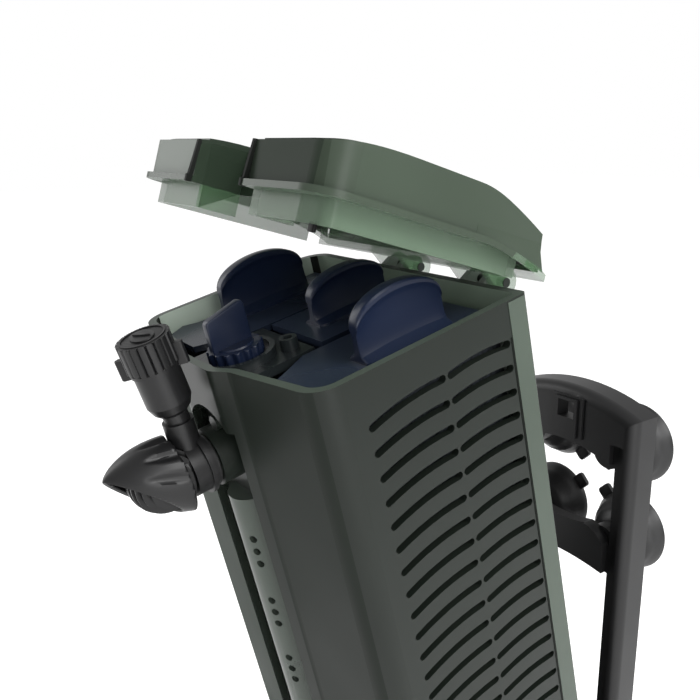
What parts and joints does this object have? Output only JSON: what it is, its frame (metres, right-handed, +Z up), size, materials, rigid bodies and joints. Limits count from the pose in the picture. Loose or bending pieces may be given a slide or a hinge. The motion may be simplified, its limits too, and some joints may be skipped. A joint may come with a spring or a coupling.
{
  "type": "internal power filter",
  "caption": "Submersible aquarium filter: a tall louvred case with a hinged lid, handled cartridges, an air valve and a turning nozzle, tilting on a bracket held by suction cups.",
  "frame": {"origin": "on the glass, at the middle of the four suction cups", "axes": "+Z up, +Y into the glass, -Y the front of the filter, +X its right side"},
  "size_m": [0.1052, 0.207, 0.3581],
  "materials": {
    "smoke_plastic": "smoky translucent moulding, satin",
    "smoke_plastic_pale": "paler translucent moulding",
    "lid_plastic": "smoky translucent moulding, satin",
    "grey_plastic": "satin",
    "slate_blue_plastic": "satin",
    "navy_plastic": "satin",
    "charcoal_plastic": "satin",
    "black_plastic": "satin",
    "white_plastic": "satin",
    "cup_rubber": "satin",
    "seal_rubber": "matt",
    "foam": "open-cell foam",
    "mesh_fabric": "knitted mesh",
    "ceramic": "unglazed ceramic",
    "ferrite": "smooth",
    "steel": "ground"
  },
  "bodies": {
    "bracket": {"bracket_frame": "charcoal_plastic", "pivot_pin_left": "charcoal_plastic", "pivot_pin_right": "charcoal_plastic", "suction_cup_upper_left": "cup_rubber", "suction_cup_upper_right": "cup_rubber", "suction_cup_lower_left": "cup_rubber", "suction_cup_lower_right": "cup_rubber"},
    "filter_case": {"case_shell": "smoke_plastic", "case_base": "smoke_plastic", "tilt_lugs": "smoke_plastic", "rear_duct": "smoke_plastic", "spray_column": "smoke_plastic_pale", "outlet_collar": "smoke_plastic", "outlet_seal": "seal_rubber", "nozzle_elbow": "charcoal_plastic", "air_valve_body": "charcoal_plastic", "lid_hinge_pin_left": "smoke_plastic", "lid_hinge_pin_right": "smoke_plastic", "dial_cover_plate": "grey_plastic", "flow_body": "smoke_plastic", "pump_chamber": "black_plastic", "motor_housing": "black_plastic", "motor_seal": "seal_rubber", "impeller_shaft": "steel", "shaft_bush_upper": "ceramic", "cable_gland": "seal_rubber"},
    "lid": {"lid_shell": "lid_plastic"},
    "dial": {"flow_dial": "navy_plastic", "diverter_drum": "navy_plastic"},
    "valve_cap": {"air_valve_cap": "charcoal_plastic"},
    "nozzle": {"nozzle_dome": "charcoal_plastic", "nozzle_grille": "charcoal_plastic"},
    "rotor": {"rotor_magnet": "ferrite", "impeller": "white_plastic"},
    "cartridge_left": {"foam_frame_left": "slate_blue_plastic", "handle_left": "navy_plastic", "foam_cage_left": "slate_blue_plastic", "foam_pad_left": "foam"},
    "cartridge_right": {"foam_frame_right": "slate_blue_plastic", "handle_right": "navy_plastic", "foam_cage_right": "slate_blue_plastic", "foam_pad_right": "foam"},
    "basket": {"media_basket": "slate_blue_plastic", "handle_middle": "navy_plastic", "ceramic_media": "ceramic", "carbon_pouch": "mesh_fabric"}
  },
  "joints": [
    {"name": "bracket_tilt", "type": "hinge", "parent": "bracket", "child": "filter_case", "pos_m": [0, -0.01662, -0.18935], "axis": [1, 0, 0], "range_deg": [-13.8, 0]},
    {"name": "lid_hinge", "type": "hinge", "parent": "filter_case", "child": "lid", "pos_m": [0, -0.088, 0.09329], "axis": [-1, 0, 0], "range_deg": [-30.5, 44.5]},
    {"name": "flow_dial_turn", "type": "hinge", "parent": "filter_case", "child": "dial", "pos_m": [0, -0.16665, 0.08066], "axis": [0, -0.2385, 0.9711], "range_deg": [-60, 60]},
    {"name": "air_valve_turn", "type": "hinge", "parent": "filter_case", "child": "valve_cap", "pos_m": [0, -0.18488, 0.06177], "axis": [0, -0.3223, 0.9466], "range_deg": [-40, 40]},
    {"name": "nozzle_turn", "type": "hinge", "parent": "filter_case", "child": "nozzle", "pos_m": [0, -0.18508, 0.04627], "axis": [0, 0.9711, 0.2385], "range_deg": [-90, 90]},
    {"name": "rotor_spin", "type": "hinge", "parent": "filter_case", "child": "rotor", "pos_m": [0, -0.10509, -0.14106], "axis": [0, -0.2385, 0.9711], "continuous": true},
    {"name": "cartridge_left_lift", "type": "slide", "parent": "filter_case", "child": "cartridge_left", "axis": [0, -0.2385, 0.9711], "range_m": [0, 0.018]},
    {"name": "cartridge_right_lift", "type": "slide", "parent": "filter_case", "child": "cartridge_right", "axis": [0, -0.2385, 0.9711], "range_m": [0, 0.018]},
    {"name": "basket_lift", "type": "slide", "parent": "filter_case", "child": "basket", "axis": [0, -0.2385, 0.9711], "range_m": [0, 0.018]}
  ]
}
